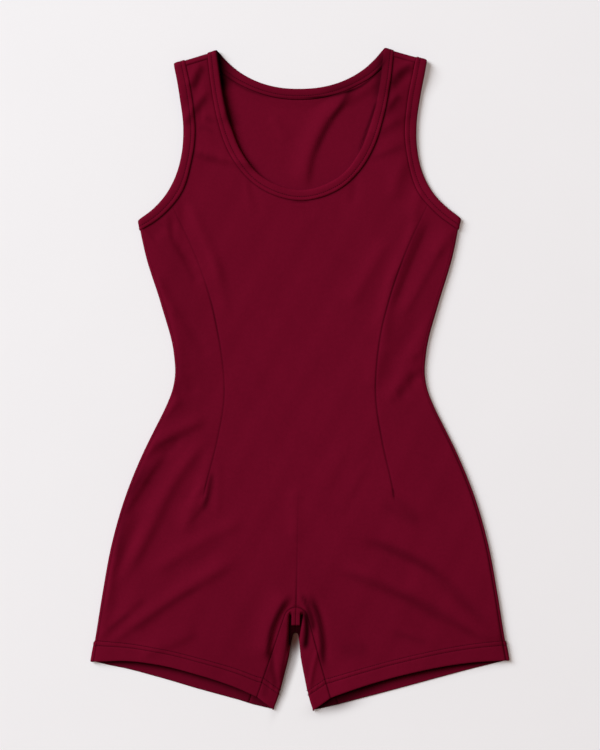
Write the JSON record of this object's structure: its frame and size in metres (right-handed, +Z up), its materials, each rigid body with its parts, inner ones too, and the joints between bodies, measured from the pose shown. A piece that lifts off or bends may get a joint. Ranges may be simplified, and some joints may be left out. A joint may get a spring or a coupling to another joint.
{
  "type": "short-legged sleeveless bodysuit, laid flat",
  "caption": "Burgundy sleeveless scoop-neck bodysuit with short legs, laid flat front up, with bound neck and armholes, princess darts and inner-leg gussets.",
  "frame": {"origin": "on the surface that the garment lies on, under the middle of its outline", "axes": "+Z up, out of the front of the garment; +Y towards the shoulders; +X towards the wearer's left"},
  "size_m": [0.493, 0.7762, 0.0107],
  "materials": {
    "burgundy_knit": "matte",
    "burgundy_binding": "matte"
  },
  "bodies": {
    "root": {"front": "burgundy_knit", "back": "burgundy_knit", "back_side_left": "burgundy_knit", "back_side_right": "burgundy_knit", "back_shoulder_left": "burgundy_knit", "back_shoulder_right": "burgundy_knit", "gusset_left": "burgundy_knit", "gusset_right": "burgundy_knit", "neck_binding": "burgundy_binding", "armhole_binding_left": "burgundy_binding", "armhole_binding_right": "burgundy_binding"}
  },
  "joints": []
}
